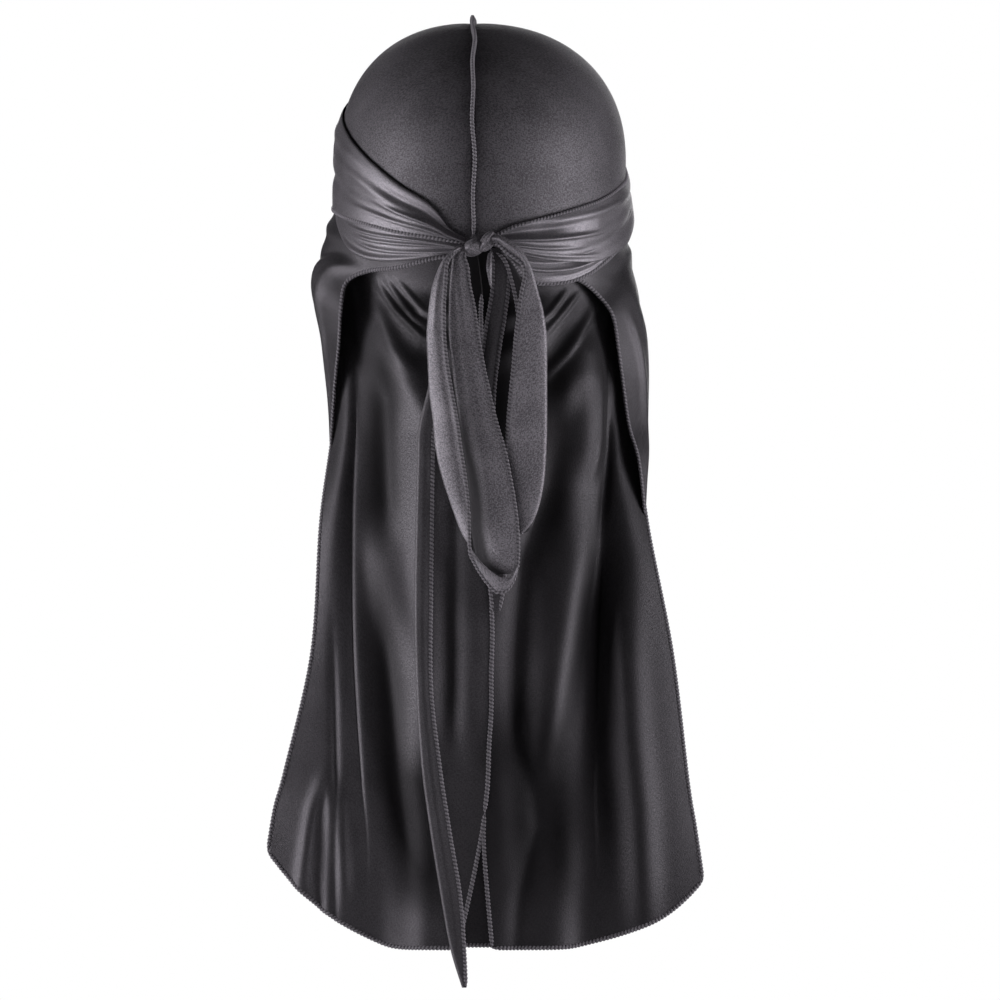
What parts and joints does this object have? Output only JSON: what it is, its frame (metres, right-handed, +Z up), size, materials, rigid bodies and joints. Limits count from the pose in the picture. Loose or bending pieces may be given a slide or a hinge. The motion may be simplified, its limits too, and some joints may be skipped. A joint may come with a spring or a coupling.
{
  "type": "satin durag",
  "caption": "Tied satin durag: fitted two-panel crown with a raised centre seam, wrapped straps, a nape knot with hanging loops and ends, and a long open cape with a slit hem",
  "frame": {"origin": "top of the hollow inside the crown, beside its centre seam", "axes": "+Z up, +Y towards the forehead side, +X to the right as seen from behind; the knot and cape are at -Y"},
  "size_m": [0.2437, 0.207, 0.546],
  "materials": {
    "satin": "smooth charcoal polyester satin with a soft sheen and a fine weave",
    "overlock": "three-thread overlock in charcoal polyester thread, rope-like ridges"
  },
  "bodies": {
    "root": {"crown_left": "satin", "crown_right": "satin", "crown_seam": "overlock", "upper_wrap": "satin", "lower_wrap_left": "satin", "lower_wrap_right": "satin", "strap_root_left": "satin", "strap_root_right": "satin", "cape_left": "satin", "cape_right": "satin", "cape_seam": "overlock", "slit_underlap": "satin", "loop_left_front": "satin", "loop_left_back": "satin", "loop_right": "satin", "strap_end_long": "satin", "strap_end_short": "satin", "knot_tuck": "satin", "knot": "satin", "knot_wrap": "satin"}
  },
  "joints": []
}
